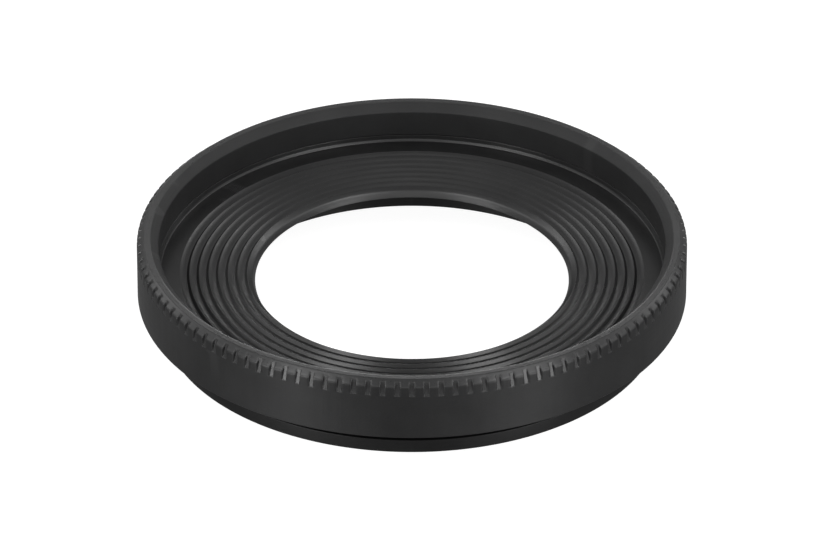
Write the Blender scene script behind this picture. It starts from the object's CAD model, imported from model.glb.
"""Looks of the round screw-in lens hood: turned black pieces under soft studio light.

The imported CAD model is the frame. Each CAD ring is replaced by a finely turned mesh of the same
overall size, with rounded edges, cut grip notches and a procedural satin-black finish.
"""
import math

import bmesh
import bpy
from mathutils import Matrix, Vector


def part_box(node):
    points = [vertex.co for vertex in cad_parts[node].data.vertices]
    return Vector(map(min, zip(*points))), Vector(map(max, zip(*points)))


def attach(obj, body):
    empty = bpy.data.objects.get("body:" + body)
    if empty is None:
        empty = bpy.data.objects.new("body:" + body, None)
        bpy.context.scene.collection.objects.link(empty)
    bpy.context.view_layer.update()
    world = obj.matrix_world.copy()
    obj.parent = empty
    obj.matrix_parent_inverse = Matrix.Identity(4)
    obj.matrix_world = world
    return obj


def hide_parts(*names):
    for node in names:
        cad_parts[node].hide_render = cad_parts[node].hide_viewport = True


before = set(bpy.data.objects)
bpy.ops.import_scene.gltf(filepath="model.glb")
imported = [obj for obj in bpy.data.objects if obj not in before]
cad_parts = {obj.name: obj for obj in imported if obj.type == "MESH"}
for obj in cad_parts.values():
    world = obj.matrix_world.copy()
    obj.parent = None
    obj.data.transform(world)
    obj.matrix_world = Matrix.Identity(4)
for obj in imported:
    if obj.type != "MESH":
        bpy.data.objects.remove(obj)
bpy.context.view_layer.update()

MM = 0.001

# Driving sizes, read from the frame, in millimetres
SHELL_LOW, SHELL_HIGH = (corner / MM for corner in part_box("front_shell"))
SHELL_RADIUS = SHELL_HIGH.x
RIM_HEIGHT = SHELL_HIGH.z
SHELL_BOTTOM = SHELL_LOW.z
BAFFLE_BOTTOM = (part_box("baffle_ring")[0] / MM).z

# Rim and wall of the shell
RIM_FLAT_INNER = 27.1
RIM_FLAT_OUTER = 27.77
RIM_DISH = 0.035
GRIP_CHAMFER_DROP = 0.62
MOUTH_RADIUS = 26.24
MOUTH_CHAMFER_DROP = 0.83
SEAT_RADIUS = 27.2
RIM_INNER_BAND = 0.2
RIM_OUTER_BAND = 0.08
PARTING_HEIGHT = 6.4
PARTING_GAP = 0.06

# Grip notches
NOTCH_COUNT = 120
NOTCH_FLOOR_HALF_WIDTH = 0.18
NOTCH_FLOOR_BORDER = 0.03
NOTCH_HALF_WIDTH = 0.33
NOTCH_EDGE_ROUNDING = 0.09
NOTCH_TILT = math.radians(16.5)
NOTCH_BOTTOM = 8.28
NOTCH_RUN_OUT = 8.16
NOTCH_END_ROUNDING = 0.12
NOTCH_END_STEP = 0.05
NOTCH_END_ROWS = (0.14, 0.1, 0.06, 0.035, 0.015, 0.0, -0.1)
GRIP_END_DROP = 0.4

# Ribbed baffle
FLOOR_HEIGHT = 5.64
FLOOR_RADIUS = 26.09
FOOT_CHAMFER_HEIGHT = 0.26
RIB_COUNT = 8
RIB_PITCH = 1.0
FIRST_CREST_RADIUS = 24.1
GROOVE_WIDTH = 0.74
GROOVE_STEEP = math.radians(38)
GROOVE_FLAT = math.radians(5)
GROOVE_STEPS = 6
LIP_EDGE_RADIUS = 16.55
LIP_EDGE_HEIGHT = 5.24
OPENING_RADIUS = 16.26
LIP_BOTTOM = 4.63
UNDERCUT_RADIUS = 17.2
SPIGOT_RADIUS = 24.0
BAFFLE_FLANGE_BOTTOM = 4.95

# Mount ring
MOUNT_RADIUS = 26.0
MOUNT_BORE_RADIUS = 22.1
MOUNT_FLANGE_TOP = 1.46
NECK_RADIUS = 25.0
JOINT_GAP = 0.06

# Edge roundings
FINE_ROUNDING = 0.04
SMALL_ROUNDING = 0.05
SEAT_ROUNDING = 0.06
FLANGE_ROUNDING = 0.08
PLAIN_ROUNDING = 0.1
BOTTOM_ROUNDING = 0.12
LIP_ROUNDING = 0.16
GRIP_ROUNDING = 0.22
LONGEST_ROUNDING_SHARE = 0.45

# Surface texture; sizes and depths in millimetres
GRAIN_SIZE = 0.13
LINE_SIZE = 0.09
MOTTLING_SIZE = 5.0
TURNING_STRETCH = 0.4
DYE_VARIATION = 0.3
EDGE_WEAR = 0.5
EDGE_POLISH = 0.06
EDGE_POINTINESS = (0.51, 0.60)
GRAIN_SHARE = 0.4
TEXTURE_GRAIN_SHARE = 0.5
DYE_LIMITS = (0.35, 0.65)
TEXTURE_LIMITS = (0.3, 0.7)
ROUGHNESS_VARIATION = 0.05
STAIN_SIZE = 0.25
SCRATCH_SIZE = 0.04
SCRATCH_DEPTH = 0.003
STEEL_ROUGHNESS = (0.28, 0.42)
STEEL_DARK = (0.045, 0.046, 0.050)
STEEL_LIGHT = (0.16, 0.16, 0.165)
STAIN_LIMITS = (0.35, 0.7)

# Zones with a finish of their own: where they fade in, in millimetres, and their change of
# roughness and of lightness
CUT_FACE_DEPTHS = (0.03, 0.07)
CUT_FACE_CHANGE = (-0.11, 0.6)
INSIDE_WIDTH = 0.06
INSIDE_CHANGE = (0.26, -0.5)
LIP_WIDTH = 0.15
LIP_CHANGE = (0.04, 1.2)

# Studio
FIBRE_SIZE = 0.6
PAPER_DARK = (0.30, 0.30, 0.30)
PAPER_LIGHT = (0.33, 0.33, 0.33)
PAPER_GLOW = 0.94
FLOOR_HALF_SIZE = 2.0
FLOOR_DROP = 0.02
WORLD_GLOW = 0.25
CAMERA_ELEVATION = math.radians(31.8)
CAMERA_DISTANCE = 0.912
CAMERA_LENS = 383.3
CAMERA_SENSOR = 36.0
CAMERA_CLIP = (0.05, 20.0)
CAMERA_AIM = Vector((0.059 * MM, 0.0, 5.11 * MM))
SOFTBOX_DISTANCE = 0.7
SOFTBOX_SIZE = 0.26
SOFTBOX_AIM = Vector((0.0, 0.0, 5 * MM))

# Soft boxes on the left and in the middle: name, azimuth and elevation in degrees, watts
SOFTBOXES = (
    ("backdrop_low", 90, 4, 1.25),
    ("backdrop_high", 90, 42, 0.05),
    ("backdrop_top", 90, 72, 0.12),
    ("back_side", 133, 30, 0.20),
    ("rear_side", 147, 30, 0.34),
    ("side_low", 180, 10, 0.06),
    ("side", 180, 32, 0.24),
    ("front_side_high", 217, 48, 0.95),
    ("front_side", 222, 18, 0.06),
    ("front_side_low", 222, 4, 1.50),
    ("table_glow", 222, -28, 0.28),
    ("front_low", 240, 30, 0.22),
    ("front", 270, 18, 0.17),
)

# Blind holes in the rear face for a pin spanner
SPANNER_ANGLES = (math.pi / 2, -math.pi / 2)
SPANNER_CIRCLE_RADIUS = 24.05
SPANNER_HOLE_RADIUS = 0.7
SPANNER_HOLE_DEPTH = 1.0
SPANNER_CHAMFER = 0.14

# Lock screws, read from the frame
LOCK_SCREWS = ("lock_screw_1", "lock_screw_2", "lock_screw_3")
LOCK_SCREW_LOW, LOCK_SCREW_HIGH = (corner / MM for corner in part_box(LOCK_SCREWS[0]))
LOCK_SCREW_RADIUS = 0.6
LOCK_POCKET_RADIUS = 0.66
LOCK_SCREW_CHAMFER = 0.1
THREAD_PITCH = 0.2
THREAD_DEPTH = 0.07
SLOT_WIDTH = 0.25
SLOT_DEPTH = 0.4

# Mesh fineness and shading
NOTCH_EDGE_SHARES = (0.0, 0.4, 0.7, 0.92)
LAND_SHARES = (0.25, 0.5, 0.75)
GRIP_ROW_SPACING = 0.085
COARSE_STEP = 4
TURNED_SEGMENTS = 480
CORNER_STEPS = 4
HOLE_SEGMENTS = 32
CUTTER_MARGIN = 0.3
SHARP_ANGLE = math.radians(40)
FACE_AREA_WEIGHT = 50


def rounded(corners, closed=True):
    """Round the corners of an outline; each corner is (radius, height, rounding)."""
    points = []
    count = len(corners)
    for index, (radius, height, rounding) in enumerate(corners):
        corner = Vector((radius, height))
        inside = closed or 0 < index < count - 1
        if not rounding or not inside:
            points.append(corner)
            continue
        before = Vector(corners[index - 1][:2]) - corner
        after = Vector(corners[(index + 1) % count][:2]) - corner
        start = corner + before * min(LONGEST_ROUNDING_SHARE, rounding / before.length)
        end = corner + after * min(LONGEST_ROUNDING_SHARE, rounding / after.length)
        for step in range(CORNER_STEPS + 1):
            along = step / CORNER_STEPS
            points.append(start.lerp(corner, along).lerp(corner.lerp(end, along), along))
    return points


def subdivided(points, longest):
    """Split the straight stretches of an open outline so that none is longer than a length."""
    result = [points[0]]
    for start, end in zip(points, points[1:]):
        parts = max(1, math.ceil((end - start).length / longest))
        result += [start.lerp(end, part / parts) for part in range(1, parts + 1)]
    return result


def is_clockwise(points):
    """Tell whether a closed outline runs clockwise in the radius and height plane."""
    pairs = zip(points, points[1:] + points[:1])
    return sum(start.x * end.y - end.x * start.y for start, end in pairs) < 0


def ring_point(radius, angle, height):
    """Return a point in metres from millimetres on a turned ring."""
    return (radius * math.cos(angle) * MM, radius * math.sin(angle) * MM, height * MM)


def link_piece(name, vertices, faces):
    """Make a smooth mesh object from points and faces."""
    mesh = bpy.data.meshes.new(name)
    mesh.from_pydata(vertices, [], faces)
    mesh.validate()
    mesh.shade_smooth()
    mesh.set_sharp_from_angle(angle=SHARP_ANGLE)
    piece = bpy.data.objects.new(name, mesh)
    bpy.context.scene.collection.objects.link(piece)
    return piece


def turned_piece(name, corners, segments=TURNED_SEGMENTS):
    """Turn a rounded closed outline about Z."""
    outline = rounded(corners)
    if not is_clockwise(outline):
        outline.reverse()
    rows = len(outline)
    vertices = [
        ring_point(point.x, 2 * math.pi * column / segments, point.y)
        for column in range(segments)
        for point in outline
    ]
    faces = []
    for column in range(segments):
        here = column * rows
        there = (column + 1) % segments * rows
        for row in range(rows):
            below = (row + 1) % rows
            faces.append((here + row, here + below, there + below, there + row))
    return link_piece(name, vertices, faces)


def smooth_by_area(piece):
    """Let the large faces steer the shading, so that flats stay flat beside their rounded edges."""
    modifier = piece.modifiers.new("face_weighted_shading", "WEIGHTED_NORMAL")
    modifier.weight = FACE_AREA_WEIGHT
    modifier.keep_sharp = True


def smoothstep(value):
    """Ease a value from 0 to 1."""
    value = min(1.0, max(0.0, value))
    return value * value * (3 - 2 * value)


def notch_scale(height):
    """Return how much narrower a notch is near its rounded lower end."""
    rise = min(max(height - NOTCH_BOTTOM, 0.0), NOTCH_END_ROUNDING)
    missing = NOTCH_END_ROUNDING - rise
    inset = NOTCH_END_ROUNDING - math.sqrt(NOTCH_END_ROUNDING**2 - missing**2)
    return 1.0 - inset / NOTCH_HALF_WIDTH


def edge_depth(offset):
    """Return how deep a notch may be at a distance from its middle: a round edge, then a wall."""
    inwards = NOTCH_HALF_WIDTH - offset
    if inwards <= 0:
        return 0.0
    if inwards < NOTCH_EDGE_ROUNDING:
        return NOTCH_EDGE_ROUNDING - math.sqrt(NOTCH_EDGE_ROUNDING**2 - inwards**2)
    return math.inf


def grip_point(outline_point, cell_angle, offset):
    """Return a point of the grip surface, sunk to the notch floor where the notch is."""
    radius, height = outline_point
    floor_radius = SHELL_RADIUS - (height - NOTCH_RUN_OUT) * math.tan(NOTCH_TILT)
    depth = max(0.0, radius - floor_radius) * smoothstep((height - NOTCH_BOTTOM) / NOTCH_END_STEP)
    angle = cell_angle + offset * notch_scale(height) / SHELL_RADIUS
    return ring_point(radius - min(depth, edge_depth(abs(offset))), angle, height)


def grip_columns():
    """Offsets from a notch's centre: the notch's own columns, then the land up to the next one."""
    pitch = 2 * math.pi * SHELL_RADIUS / NOTCH_COUNT
    land = pitch - 2 * NOTCH_HALF_WIDTH
    edge = [NOTCH_HALF_WIDTH - share * NOTCH_EDGE_ROUNDING for share in NOTCH_EDGE_SHARES]
    side = [*edge, NOTCH_FLOOR_HALF_WIDTH, NOTCH_FLOOR_HALF_WIDTH - NOTCH_FLOOR_BORDER]
    return [
        *(-offset for offset in side),
        0.0,
        *reversed(side),
        *(NOTCH_HALF_WIDTH + land * share for share in LAND_SHARES),
    ]


def rim_height(radius):
    """Return the height of the rim, which is very slightly dished inwards."""
    share = (RIM_FLAT_OUTER - radius) / (RIM_FLAT_OUTER - RIM_FLAT_INNER)
    return RIM_HEIGHT - RIM_DISH * share


def shell_rows():
    """Outline of the shell in two open stretches: the grip, and the rest back to its start."""
    outer_band = RIM_FLAT_OUTER - RIM_OUTER_BAND
    inner_band = RIM_FLAT_INNER + RIM_INNER_BAND
    grip = rounded(
        [
            (outer_band, rim_height(outer_band), 0),
            (RIM_FLAT_OUTER, rim_height(RIM_FLAT_OUTER), SMALL_ROUNDING),
            (SHELL_RADIUS, RIM_HEIGHT - GRIP_CHAMFER_DROP, GRIP_ROUNDING),
            *((SHELL_RADIUS, NOTCH_BOTTOM + rise, 0) for rise in NOTCH_END_ROWS),
        ],
        closed=False,
    )
    ledge = PARTING_HEIGHT + PARTING_GAP / 2
    rest = rounded(
        [
            (SHELL_RADIUS, NOTCH_BOTTOM - GRIP_END_DROP, 0),
            (SHELL_RADIUS, SHELL_BOTTOM, BOTTOM_ROUNDING),
            (SEAT_RADIUS, SHELL_BOTTOM, SEAT_ROUNDING),
            (SEAT_RADIUS, ledge, FINE_ROUNDING),
            (MOUTH_RADIUS, ledge, SMALL_ROUNDING),
            (MOUTH_RADIUS, RIM_HEIGHT - MOUTH_CHAMFER_DROP, PLAIN_ROUNDING),
            (RIM_FLAT_INNER, rim_height(RIM_FLAT_INNER), SMALL_ROUNDING),
            (inner_band, rim_height(inner_band), 0),
        ],
        closed=False,
    )
    return subdivided(grip, GRIP_ROW_SPACING), rest


def band_faces(first, rows, columns):
    """Join rows of points round the shell, counted from a first point, into bands of faces."""
    faces = []
    for row in range(rows - 1):
        above, below = first + row * columns, first + (row + 1) * columns
        for column in range(columns):
            after = (column + 1) % columns
            faces.append((above + column, below + column, below + after, above + after))
    return faces


def make_knurled_shell():
    """Build the shell: fine columns through the grip, a quarter as many round the rest."""
    grip, rest = shell_rows()
    offsets = grip_columns()
    fine_count = len(offsets) * NOTCH_COUNT
    coarse_count = fine_count // COARSE_STEP
    cell_angles = [2 * math.pi * (cell / NOTCH_COUNT) for cell in range(NOTCH_COUNT)]

    vertices = []
    for point in grip:
        for cell_angle in cell_angles:
            vertices += [grip_point(point, cell_angle, offset) for offset in offsets]
    for point in rest:
        for cell_angle in cell_angles:
            vertices += [
                ring_point(point.x, cell_angle + offset / SHELL_RADIUS, point.y)
                for offset in offsets[::COARSE_STEP]
            ]

    first_rest = len(grip) * fine_count
    last_grip = first_rest - fine_count
    last_rest = first_rest + (len(rest) - 1) * coarse_count
    faces = band_faces(0, len(grip), fine_count)
    faces += band_faces(first_rest, len(rest), coarse_count)
    for column in range(coarse_count):
        after = (column + 1) % coarse_count
        fine = [(column * COARSE_STEP + step) % fine_count for step in range(COARSE_STEP + 1)]
        grip_end = [last_grip + place for place in reversed(fine)]
        faces.append([first_rest + column, first_rest + after, *grip_end])
        faces.append([last_rest + after, last_rest + column, *fine])
    shell = link_piece("knurled_shell", vertices, faces)
    cut_lock_pockets(shell)
    return shell


def groove_corners(crest):
    """One hollow groove inwards from a crest: an arc that is steep at the crest and flat at its foot."""
    arc_radius = GROOVE_WIDTH / (math.sin(GROOVE_STEEP) - math.sin(GROOVE_FLAT))
    corners = []
    for step in range(1, GROOVE_STEPS + 1):
        slope = GROOVE_STEEP + (GROOVE_FLAT - GROOVE_STEEP) * step / GROOVE_STEPS
        inwards = arc_radius * (math.sin(GROOVE_STEEP) - math.sin(slope))
        down = arc_radius * (math.cos(slope) - math.cos(GROOVE_STEEP))
        corners.append((crest - inwards, FLOOR_HEIGHT - down, 0))
    return corners


def rib_corners():
    """Sharp ribs from the first crest inwards, with a hollow groove between each two crests."""
    corners = []
    for index in range(RIB_COUNT):
        crest = FIRST_CREST_RADIUS - index * RIB_PITCH
        corners.append((crest, FLOOR_HEIGHT, FINE_ROUNDING))
        if index < RIB_COUNT - 1:
            corners += groove_corners(crest)
    return corners


def make_ribbed_baffle():
    """Build the baffle that stops stray light."""
    rim = SEAT_RADIUS - JOINT_GAP
    collar_top = PARTING_HEIGHT - PARTING_GAP / 2
    corners = [
        (rim, collar_top, SMALL_ROUNDING),
        (MOUTH_RADIUS, collar_top, SMALL_ROUNDING),
        (MOUTH_RADIUS, FLOOR_HEIGHT + FOOT_CHAMFER_HEIGHT, SMALL_ROUNDING),
        (FLOOR_RADIUS, FLOOR_HEIGHT, SEAT_ROUNDING),
        *rib_corners(),
        (LIP_EDGE_RADIUS, LIP_EDGE_HEIGHT, LIP_ROUNDING),
        (OPENING_RADIUS, LIP_BOTTOM, SEAT_ROUNDING),
        (UNDERCUT_RADIUS, BAFFLE_BOTTOM, SMALL_ROUNDING),
        (SPIGOT_RADIUS, BAFFLE_BOTTOM, FLANGE_ROUNDING),
        (SPIGOT_RADIUS, BAFFLE_FLANGE_BOTTOM, SMALL_ROUNDING),
        (rim, BAFFLE_FLANGE_BOTTOM, FLANGE_ROUNDING),
    ]
    return turned_piece("ribbed_baffle", corners)


def turned_mesh(outline, segments, centre, height):
    """Turn a closed outline, given in millimetres, about an upright axis through a centre."""
    mesh_data = bmesh.new()
    rings = []
    for radius, level in outline:
        angles = [2 * math.pi * step / segments for step in range(segments)]
        rings.append([
            mesh_data.verts.new((
                (centre.x + radius * math.cos(angle)) * MM,
                (centre.y + radius * math.sin(angle)) * MM,
                (height + level) * MM,
            ))
            for angle in angles
        ])
    for lower, upper in zip(rings, rings[1:]):
        for step in range(segments):
            after = (step + 1) % segments
            mesh_data.faces.new((lower[step], lower[after], upper[after], upper[step]))
    mesh_data.faces.new(reversed(rings[0]))
    mesh_data.faces.new(rings[-1])
    return mesh_data


def link_mesh(name, mesh_data):
    """Link a bmesh as an object and free it."""
    mesh = bpy.data.meshes.new(name)
    mesh_data.to_mesh(mesh)
    mesh_data.free()
    piece = bpy.data.objects.new(name, mesh)
    bpy.context.scene.collection.objects.link(piece)
    return piece


def cut_out(piece, mesh_data):
    """Take a cutter's shape out of a piece for good, and leave no cutter behind."""
    cutter = link_mesh(f"{piece.name}_cutter", mesh_data)
    modifier = piece.modifiers.new("cut", "BOOLEAN")
    modifier.solver = "EXACT"
    modifier.object = cutter
    evaluated = piece.evaluated_get(bpy.context.evaluated_depsgraph_get())
    mesh = bpy.data.meshes.new_from_object(evaluated)
    piece.modifiers.remove(modifier)
    piece.data = mesh
    bpy.data.objects.remove(cutter)
    mesh.shade_smooth()
    mesh.set_sharp_from_angle(angle=SHARP_ANGLE)


def on_circle(radius, angle):
    """Return a point in the plane on a circle about the origin."""
    return Vector((radius * math.cos(angle), radius * math.sin(angle)))


def cut_spanner_holes(ring):
    """Cut the two chamfered blind holes into the rear face."""
    mouth = SPANNER_HOLE_RADIUS + SPANNER_CHAMFER
    outline = [
        (mouth, -CUTTER_MARGIN),
        (mouth, 0.0),
        (SPANNER_HOLE_RADIUS, SPANNER_CHAMFER),
        (SPANNER_HOLE_RADIUS, SPANNER_HOLE_DEPTH),
    ]
    for angle in SPANNER_ANGLES:
        centre = on_circle(SPANNER_CIRCLE_RADIUS, angle)
        cut_out(ring, turned_mesh(outline, HOLE_SEGMENTS, centre, 0.0))


def lock_screw_centre(name):
    """Return the middle of a lock screw in the plane, in millimetres."""
    low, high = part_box(name)
    return ((low + high) / (2 * MM)).to_2d()


def cut_lock_pockets(piece):
    """Cut the round pockets that the lock screws sit in."""
    top = LOCK_SCREW_HIGH.z + LOCK_POCKET_RADIUS - LOCK_SCREW_RADIUS
    outline = [(LOCK_POCKET_RADIUS, SHELL_BOTTOM - CUTTER_MARGIN), (LOCK_POCKET_RADIUS, top)]
    for name in LOCK_SCREWS:
        cut_out(piece, turned_mesh(outline, HOLE_SEGMENTS, lock_screw_centre(name), 0.0))


def make_lock_screw(name):
    """Build one slotted grub screw with a chamfered end and rings in place of its fine thread."""
    bottom, top = LOCK_SCREW_LOW.z, LOCK_SCREW_HIGH.z
    root = LOCK_SCREW_RADIUS - THREAD_DEPTH
    outline = [(LOCK_SCREW_RADIUS - LOCK_SCREW_CHAMFER, 0.0), (LOCK_SCREW_RADIUS, LOCK_SCREW_CHAMFER)]
    level = LOCK_SCREW_CHAMFER + THREAD_PITCH / 2
    while level + THREAD_PITCH / 2 < top - bottom - LOCK_SCREW_CHAMFER:
        outline += [(root, level), (LOCK_SCREW_RADIUS, level + THREAD_PITCH / 2)]
        level += THREAD_PITCH
    outline.append((root, top - bottom))
    centre = lock_screw_centre(name)
    screw = link_mesh(f"slotted_{name}", turned_mesh(outline, HOLE_SEGMENTS, centre, bottom))
    slot = bmesh.new()
    length = 2 * LOCK_SCREW_RADIUS + 2 * CUTTER_MARGIN
    size = Vector((length, SLOT_WIDTH, SLOT_DEPTH + CUTTER_MARGIN)) * MM
    place = Vector((*centre, bottom + (SLOT_DEPTH - CUTTER_MARGIN) / 2)) * MM
    turn = Matrix.Rotation(math.atan2(centre.y, centre.x), 4, "Z")
    matrix = Matrix.Translation(place) @ turn @ Matrix.Diagonal((*size, 1.0))
    bmesh.ops.create_cube(slot, size=1.0, matrix=matrix)
    cut_out(screw, slot)
    return screw


def make_rear_mount():
    """Build the rear ring."""
    rim = SEAT_RADIUS - JOINT_GAP
    top = BAFFLE_FLANGE_BOTTOM - JOINT_GAP
    inner_top = BAFFLE_BOTTOM - JOINT_GAP
    corners = [
        (MOUNT_BORE_RADIUS, 0.0, BOTTOM_ROUNDING),
        (MOUNT_RADIUS, 0.0, BOTTOM_ROUNDING),
        (MOUNT_RADIUS, MOUNT_FLANGE_TOP, PLAIN_ROUNDING),
        (NECK_RADIUS, MOUNT_FLANGE_TOP, PLAIN_ROUNDING),
        (NECK_RADIUS, SHELL_BOTTOM, PLAIN_ROUNDING),
        (rim, SHELL_BOTTOM, PLAIN_ROUNDING),
        (rim, top, SMALL_ROUNDING),
        (SPIGOT_RADIUS + JOINT_GAP, top, SMALL_ROUNDING),
        (SPIGOT_RADIUS + JOINT_GAP, inner_top, SMALL_ROUNDING),
        (MOUNT_BORE_RADIUS, inner_top, FLANGE_ROUNDING),
    ]
    ring = turned_piece("rear_mount", corners)
    cut_spanner_holes(ring)
    cut_lock_pockets(ring)
    return ring


def add_node(material, kind):
    """Add a shader node."""
    return material.node_tree.nodes.new(kind)


def join(material, output, target):
    """Link an output socket to an input socket."""
    material.node_tree.links.new(output, target)


def calculate(material, operation, first, second):
    """Return the output of a maths node on two sockets or numbers."""
    node = add_node(material, "ShaderNodeMath")
    node.operation = operation
    for socket, value in zip(node.inputs, (first, second)):
        if isinstance(value, bpy.types.NodeSocket):
            join(material, value, socket)
        else:
            socket.default_value = value
    return node.outputs["Value"]


def remap(material, value, low, high, start=0.0, end=1.0):
    """Return a value moved from one range to another and kept inside it."""
    node = add_node(material, "ShaderNodeMapRange")
    join(material, value, node.inputs["Value"])
    for name, number in zip(("From Min", "From Max", "To Min", "To Max"), (low, high, start, end)):
        node.inputs[name].default_value = number
    return node.outputs["Result"]


def noise(material, vector, feature, detail=2.0):
    """Return a noise value whose features have a size in millimetres."""
    node = add_node(material, "ShaderNodeTexNoise")
    node.inputs["Scale"].default_value = 1 / (feature * MM)
    node.inputs["Detail"].default_value = detail
    join(material, vector, node.inputs["Vector"])
    return node.outputs["Fac"]


def turned_coordinates(material, place):
    """Return radius, height and a much shortened way round, so that noise becomes turning lines."""
    parts = add_node(material, "ShaderNodeSeparateXYZ")
    join(material, place, parts.inputs["Vector"])
    x, y, z = parts.outputs
    squares = [calculate(material, "MULTIPLY", axis, axis) for axis in (x, y)]
    radius = calculate(material, "SQRT", calculate(material, "ADD", *squares), 0.0)
    angle = calculate(material, "ARCTAN2", y, x)
    way_round = calculate(material, "MULTIPLY", angle, TURNING_STRETCH * MM)
    turned = add_node(material, "ShaderNodeCombineXYZ")
    for output, socket in zip((radius, z, way_round), turned.inputs):
        join(material, output, socket)
    return turned.outputs["Vector"], radius


def bump(material, height, depth, normal=None):
    """Return a normal roughened by a height, whose full relief is a depth in millimetres."""
    node = add_node(material, "ShaderNodeBump")
    node.inputs["Strength"].default_value = 1.0
    node.inputs["Distance"].default_value = depth * MM
    join(material, height, node.inputs["Height"])
    if normal:
        join(material, normal, node.inputs["Normal"])
    return node.outputs["Normal"]


def new_material(name):
    """Return a node material and its shader."""
    material = bpy.data.materials.new(name)
    material.use_nodes = True
    return material, material.node_tree.nodes["Principled BSDF"]


def blend(material, first, second, share):
    """Return two values mixed in fixed shares that add up to one."""
    return calculate(
        material,
        "ADD",
        calculate(material, "MULTIPLY", first, share),
        calculate(material, "MULTIPLY", second, 1 - share),
    )


def colour_between(material, value, dark, light, positions=(0.0, 1.0)):
    """Return a colour that goes from dark to light as a value rises."""
    ramp = add_node(material, "ShaderNodeValToRGB")
    for element, colour, position in zip(ramp.color_ramp.elements, (dark, light), positions):
        element.color = (*colour, 1.0)
        element.position = position
    join(material, value, ramp.inputs["Fac"])
    return ramp.outputs["Color"]


def anodised_black(name, dark, light, roughness, grain_depth, line_depth, specular, zones=()):
    """Black anodised aluminium: blasted grain, fine turning lines, mottled dye and rubbed edges.

    Each zone is (outer radius, inner radius, change of roughness, lightness), blended in between.
    """
    material, shader = new_material(name)
    shader.inputs["Specular IOR Level"].default_value = specular
    place = add_node(material, "ShaderNodeTexCoord").outputs["Object"]

    grain = noise(material, place, GRAIN_SIZE)
    turned, radius = turned_coordinates(material, place)
    lines = noise(material, turned, LINE_SIZE)
    mottling = noise(material, place, MOTTLING_SIZE, detail=3.0)
    pointiness = add_node(material, "ShaderNodeNewGeometry").outputs["Pointiness"]
    edges = remap(material, pointiness, *EDGE_POINTINESS)

    dye = remap(material, blend(material, grain, mottling, GRAIN_SHARE), *DYE_LIMITS, 0.0, DYE_VARIATION)
    wear = calculate(material, "MULTIPLY", edges, EDGE_WEAR)
    lightness = calculate(material, "MAXIMUM", dye, wear)
    texture = blend(material, grain, lines, TEXTURE_GRAIN_SHARE)
    sheen_limits = (roughness - ROUGHNESS_VARIATION, roughness + ROUGHNESS_VARIATION)
    varied = remap(material, texture, *TEXTURE_LIMITS, *sheen_limits)
    polish = calculate(material, "MULTIPLY", edges, EDGE_POLISH)
    finish = calculate(material, "SUBTRACT", varied, polish)
    for outer, inner, rougher, lighter in zones:
        share = remap(material, radius, outer * MM, inner * MM)
        finish = calculate(material, "ADD", finish, calculate(material, "MULTIPLY", share, rougher))
        lightness = calculate(material, "ADD", lightness, calculate(material, "MULTIPLY", share, lighter))

    join(material, colour_between(material, lightness, dark, light), shader.inputs["Base Color"])
    join(material, finish, shader.inputs["Roughness"])
    blasted = bump(material, grain, grain_depth)
    join(material, bump(material, lines, line_depth, blasted), shader.inputs["Normal"])
    return material


def shell_black():
    """Satin black of the shell: a blasted wall, smoother cut chamfer, notches and rim, dull inside."""
    cut_faces = (*(SHELL_RADIUS - depth for depth in CUT_FACE_DEPTHS), *CUT_FACE_CHANGE)
    inside = (RIM_FLAT_INNER, RIM_FLAT_INNER - INSIDE_WIDTH, *INSIDE_CHANGE)
    return anodised_black(
        "shell_satin_black",
        dark=(0.007, 0.007, 0.0073),
        light=(0.034, 0.034, 0.0345),
        roughness=0.42,
        grain_depth=0.005,
        line_depth=0.002,
        specular=0.5,
        zones=(cut_faces, inside),
    )


def baffle_black():
    """Black of the ribbed baffle: grain and turning lines, and a lighter cut lip."""
    lip = (LIP_EDGE_RADIUS + LIP_WIDTH, LIP_EDGE_RADIUS, *LIP_CHANGE)
    return anodised_black(
        "baffle_turned_black",
        dark=(0.007, 0.007, 0.0072),
        light=(0.032, 0.032, 0.0324),
        roughness=0.34,
        grain_depth=0.004,
        line_depth=0.004,
        specular=0.75,
        zones=(lip,),
    )


def mount_black():
    """Satin black of the rear ring."""
    return anodised_black(
        "mount_satin_black",
        dark=(0.005, 0.005, 0.0052),
        light=(0.022, 0.022, 0.0223),
        roughness=0.45,
        grain_depth=0.004,
        line_depth=0.003,
        specular=0.3,
    )


def blackened_steel():
    """Oiled dark steel of the lock screws, with stains and fine scratches."""
    material, shader = new_material("blackened_steel")
    shader.inputs["Metallic"].default_value = 1.0
    place = add_node(material, "ShaderNodeTexCoord").outputs["Object"]
    stains = noise(material, place, STAIN_SIZE, detail=4.0)
    scratches = noise(material, turned_coordinates(material, place)[0], SCRATCH_SIZE)
    colour = colour_between(material, stains, STEEL_DARK, STEEL_LIGHT, STAIN_LIMITS)
    join(material, colour, shader.inputs["Base Color"])
    finish = remap(material, scratches, *TEXTURE_LIMITS, *STEEL_ROUGHNESS)
    join(material, finish, shader.inputs["Roughness"])
    join(material, bump(material, scratches, SCRATCH_DEPTH), shader.inputs["Normal"])
    return material


def studio_paper():
    """White seamless paper with a faint fibre, bright enough to read as white."""
    material, shader = new_material("studio_paper")
    shader.inputs["Specular IOR Level"].default_value = 0.0
    shader.inputs["Emission Color"].default_value = (1.0, 1.0, 1.0, 1.0)
    shader.inputs["Emission Strength"].default_value = PAPER_GLOW
    place = add_node(material, "ShaderNodeTexCoord").outputs["Object"]
    fibre = noise(material, place, FIBRE_SIZE, detail=4.0)
    colour = colour_between(material, fibre, PAPER_DARK, PAPER_LIGHT)
    join(material, colour, shader.inputs["Base Color"])
    return material


def finish_piece(piece, material, node):
    """Dress a piece, ride it on the body and let it stand for its CAD node."""
    piece.data.materials.append(material)
    smooth_by_area(piece)
    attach(piece, "root")
    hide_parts(node)


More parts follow.
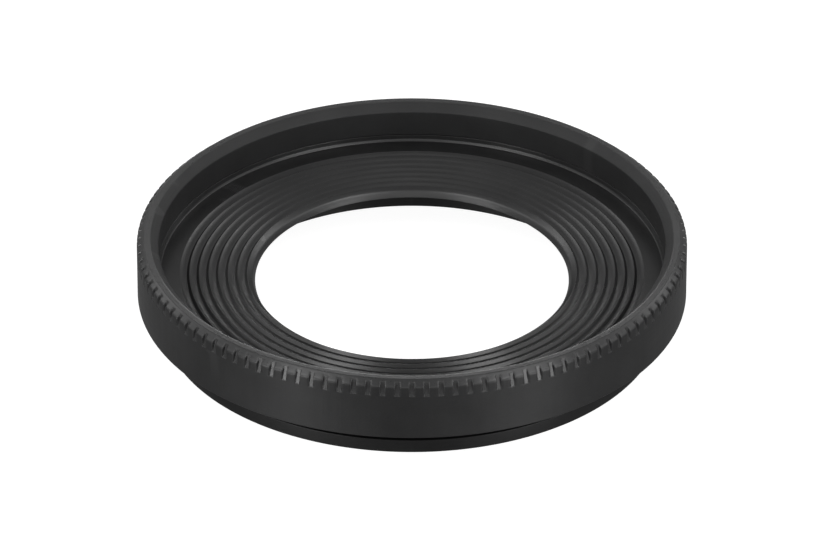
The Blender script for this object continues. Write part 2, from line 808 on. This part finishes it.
def add_area_light(name, azimuth, elevation, power):
    """Add a soft box that faces the hood from a direction given in degrees."""
    light = bpy.data.lights.new(name, "AREA")
    light.shape = "SQUARE"
    light.size = SOFTBOX_SIZE
    light.energy = power
    lamp = bpy.data.objects.new(name, light)
    bpy.context.scene.collection.objects.link(lamp)
    a, e = math.radians(azimuth), math.radians(elevation)
    direction = Vector((math.cos(a) * math.cos(e), math.sin(a) * math.cos(e), math.sin(e)))
    lamp.location = SOFTBOX_AIM + direction * SOFTBOX_DISTANCE
    lamp.rotation_mode = "QUATERNION"
    lamp.rotation_quaternion = direction.to_track_quat("Z", "Y")
    lamp.visible_camera = False


def add_lights():
    """Set the soft boxes, each with its mirror image on the other side of the hood."""
    for name, azimuth, elevation, power in SOFTBOXES:
        for side, direction in enumerate(sorted({azimuth, (180 - azimuth) % 360})):
            add_area_light(f"{name}_{side}", direction, elevation, power)


def add_world():
    """Surround the scene with a weak white glow."""
    world = bpy.data.worlds.new("studio_world")
    bpy.context.scene.world = world
    world.use_nodes = True
    background = world.node_tree.nodes["Background"]
    background.inputs["Color"].default_value = (1.0, 1.0, 1.0, 1.0)
    background.inputs["Strength"].default_value = WORLD_GLOW


def add_floor():
    """Lay the paper just under the hood; it is left out of the hood's reflections and light."""
    mesh_data = bmesh.new()
    bmesh.ops.create_grid(mesh_data, x_segments=1, y_segments=1, size=FLOOR_HALF_SIZE)
    mesh = bpy.data.meshes.new("studio_floor")
    mesh_data.to_mesh(mesh)
    mesh_data.free()
    floor = bpy.data.objects.new("studio_floor", mesh)
    bpy.context.scene.collection.objects.link(floor)
    floor.location.z = -FLOOR_DROP * MM
    mesh.materials.append(studio_paper())
    floor.visible_glossy = False
    floor.visible_diffuse = False
    floor.visible_shadow = False


def add_camera():
    """Look down at the hood from the front through a long lens."""
    camera_data = bpy.data.cameras.new("studio_camera")
    camera_data.sensor_width = CAMERA_SENSOR
    camera_data.lens = CAMERA_LENS
    camera_data.clip_start, camera_data.clip_end = CAMERA_CLIP
    camera = bpy.data.objects.new("studio_camera", camera_data)
    bpy.context.scene.collection.objects.link(camera)
    back = Vector((0.0, -math.cos(CAMERA_ELEVATION), math.sin(CAMERA_ELEVATION)))
    camera.location = CAMERA_AIM + back * CAMERA_DISTANCE
    camera.rotation_mode = "QUATERNION"
    camera.rotation_quaternion = back.to_track_quat("Z", "Y")
    bpy.context.scene.camera = camera


def build_scene():
    """Build, dress and light the hood."""
    add_camera()
    finish_piece(make_knurled_shell(), shell_black(), "front_shell")
    finish_piece(make_ribbed_baffle(), baffle_black(), "baffle_ring")
    finish_piece(make_rear_mount(), mount_black(), "mount_ring")
    steel = blackened_steel()
    for name in LOCK_SCREWS:
        finish_piece(make_lock_screw(name), steel, name)
    add_floor()
    add_lights()
    add_world()
    bpy.context.scene.view_settings.view_transform = "Standard"


build_scene()
